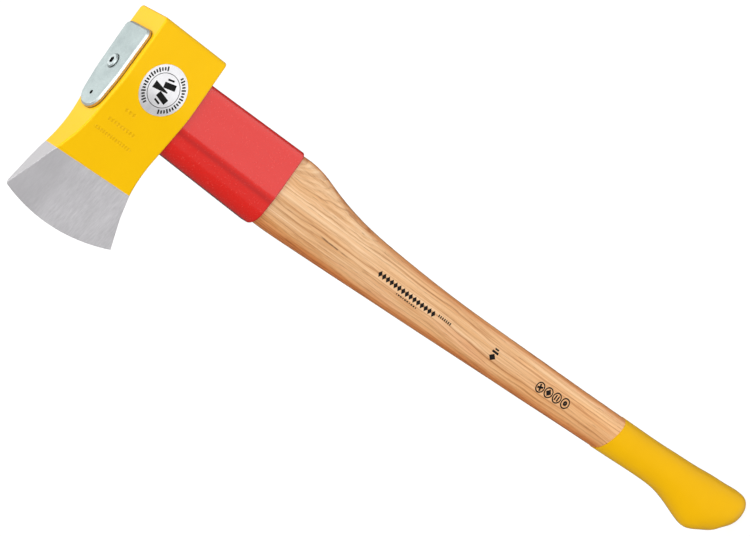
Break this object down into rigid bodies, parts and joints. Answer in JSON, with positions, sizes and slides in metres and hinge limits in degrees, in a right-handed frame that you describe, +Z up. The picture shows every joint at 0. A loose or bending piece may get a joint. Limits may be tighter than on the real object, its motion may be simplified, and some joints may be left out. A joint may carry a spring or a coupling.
{
  "type": "splitting axe",
  "caption": "Long-handled splitting axe with a wedge-shaped forged head, screwed safety plate over the eye, steel sleeve below the head and curved wooden haft with a dipped grip.",
  "frame": {"origin": "centre of the flat poll face at the back of the head", "axes": "+Z up along the haft towards the head, +X out of the poll face, so the cutting edge faces -X; the head is mirrored about the plane Y = 0"},
  "size_m": [0.185, 0.0498, 0.8117],
  "materials": {
    "head_paint": "forged steel with golden-yellow paint on poll and cheeks, bare ground steel on the bit",
    "haft_wood": "satin clear-lacquered hardwood, grain along the haft",
    "grip_lacquer": "smooth golden-yellow dipped coat",
    "sleeve_paint": "red powder coat on sheet steel",
    "zinc_plate": "bright zinc plating",
    "screw_steel": "bright zinc plating",
    "wedge_wood": "plain beech",
    "ring_steel": "plain steel",
    "badge_foil": "silver printed foil"
  },
  "bodies": {
    "root": {"axe_head": "head_paint", "haft": "haft_wood", "grip_coating": "grip_lacquer", "protective_sleeve": "sleeve_paint", "safety_plate": "zinc_plate", "plate_screw": "screw_steel", "eye_wedge": "wedge_wood", "ring_wedge": "ring_steel", "cheek_badge": "badge_foil"}
  },
  "joints": []
}
